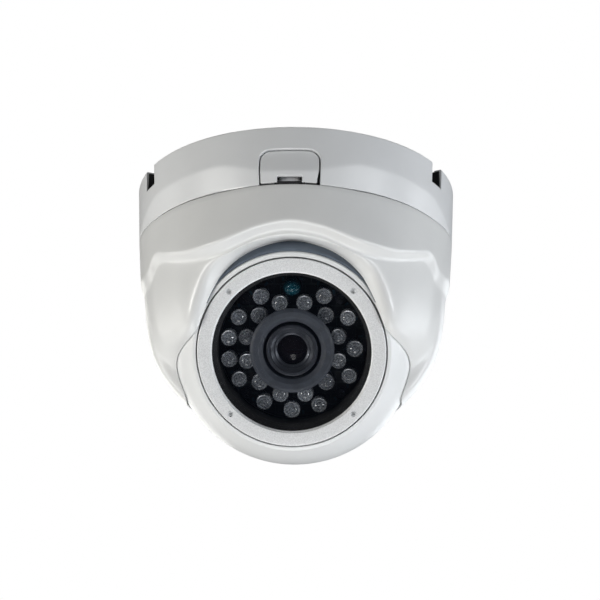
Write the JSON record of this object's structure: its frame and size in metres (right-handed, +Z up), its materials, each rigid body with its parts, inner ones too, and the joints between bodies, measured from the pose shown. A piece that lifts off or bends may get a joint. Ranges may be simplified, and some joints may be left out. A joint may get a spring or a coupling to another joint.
{
  "type": "dome CCTV camera",
  "caption": "Ceiling dome security camera: a turning cover on a round base holds a tilting ball eye with infrared lamps around the lens.",
  "frame": {"origin": "centre of the round face that lies on the ceiling", "axes": "+Z up into the ceiling, -Y where the eye looks at rest, +X to the right as seen from in front of the camera's face"},
  "size_m": [0.094, 0.094, 0.08],
  "materials": {
    "base_paint": "satin powder coat",
    "cover_paint": "satin powder coat",
    "ball_paint": "satin powder coat",
    "ring_paint": "fine metallic satin",
    "screw_steel": "plated, bright",
    "bare_alloy": "as cast",
    "brass": "turned",
    "nylon": "moulded",
    "rubber_black": "matt",
    "rubber_shroud": "soft matt",
    "window_glass": "polished, tinted",
    "led_epoxy": "clear moulded",
    "photocell_epoxy": "clear moulded, tinted",
    "lens_glass": "coated",
    "anodised_black": "anodised, satin",
    "circuit_board": "solder mask",
    "sensor_chip": "glossy"
  },
  "bodies": {
    "base": {"mounting_base": "base_paint", "hatch_plug": "base_paint", "hatch_screw": "screw_steel", "pan_retainer": "bare_alloy", "retainer_screw_1": "screw_steel", "retainer_screw_2": "screw_steel", "retainer_screw_3": "screw_steel"},
    "cover": {"cover_shell": "cover_paint", "ball_clamp": "bare_alloy", "clamp_liner": "nylon", "clamp_screw_1": "screw_steel", "clamp_screw_2": "screw_steel", "clamp_screw_3": "screw_steel", "clamp_screw_4": "screw_steel"},
    "gland": {"cable_gland": "rubber_black"},
    "ball": {"ball_body": "ball_paint", "trim_ring": "ring_paint", "window_glass": "window_glass", "window_seal": "rubber_black", "led_board": "circuit_board", "led_01": "led_epoxy", "led_02": "led_epoxy", "led_03": "led_epoxy", "led_04": "led_epoxy", "led_05": "led_epoxy", "led_06": "led_epoxy", "led_07": "led_epoxy", "led_08": "led_epoxy", "led_09": "led_epoxy", "led_10": "led_epoxy", "led_11": "led_epoxy", "led_12": "led_epoxy", "led_13": "led_epoxy", "led_14": "led_epoxy", "led_15": "led_epoxy", "led_16": "led_epoxy", "led_17": "led_epoxy", "led_18": "led_epoxy", "led_19": "led_epoxy", "led_20": "led_epoxy", "led_21": "led_epoxy", "led_22": "led_epoxy", "led_23": "led_epoxy", "led_24": "led_epoxy", "photocell": "photocell_epoxy", "lens_shroud": "rubber_shroud", "lens_holder": "nylon", "sensor_board": "circuit_board", "image_sensor": "sensor_chip", "power_board": "circuit_board", "standoff_1": "brass", "standoff_2": "brass", "standoff_3": "brass", "standoff_4": "brass", "board_screw_1": "anodised_black", "board_screw_2": "anodised_black", "board_screw_3": "anodised_black", "board_screw_4": "anodised_black"},
    "lens": {"lens_barrel": "anodised_black", "lens_front_glass": "lens_glass"}
  },
  "joints": [
    {"name": "cover_pan", "type": "hinge", "parent": "base", "child": "cover", "pos_m": [0, 0, 0], "axis": [0, 0, 1], "range_deg": [-175, 175]},
    {"name": "ball_tilt", "type": "hinge", "parent": "cover", "child": "gland", "pos_m": [0, -0.002, -0.045], "axis": [1, 0, 0], "range_deg": [-10, 62]},
    {"name": "ball_roll", "type": "hinge", "parent": "gland", "child": "ball", "pos_m": [0, -0.002, -0.045], "axis": [0, -0.8988, -0.4384], "range_deg": [-175, 175]},
    {"name": "lens_focus", "type": "hinge", "parent": "ball", "child": "lens", "pos_m": [0, -0.002, -0.045], "axis": [0, -0.8988, -0.4384], "range_deg": [-180, 180]}
  ]
}
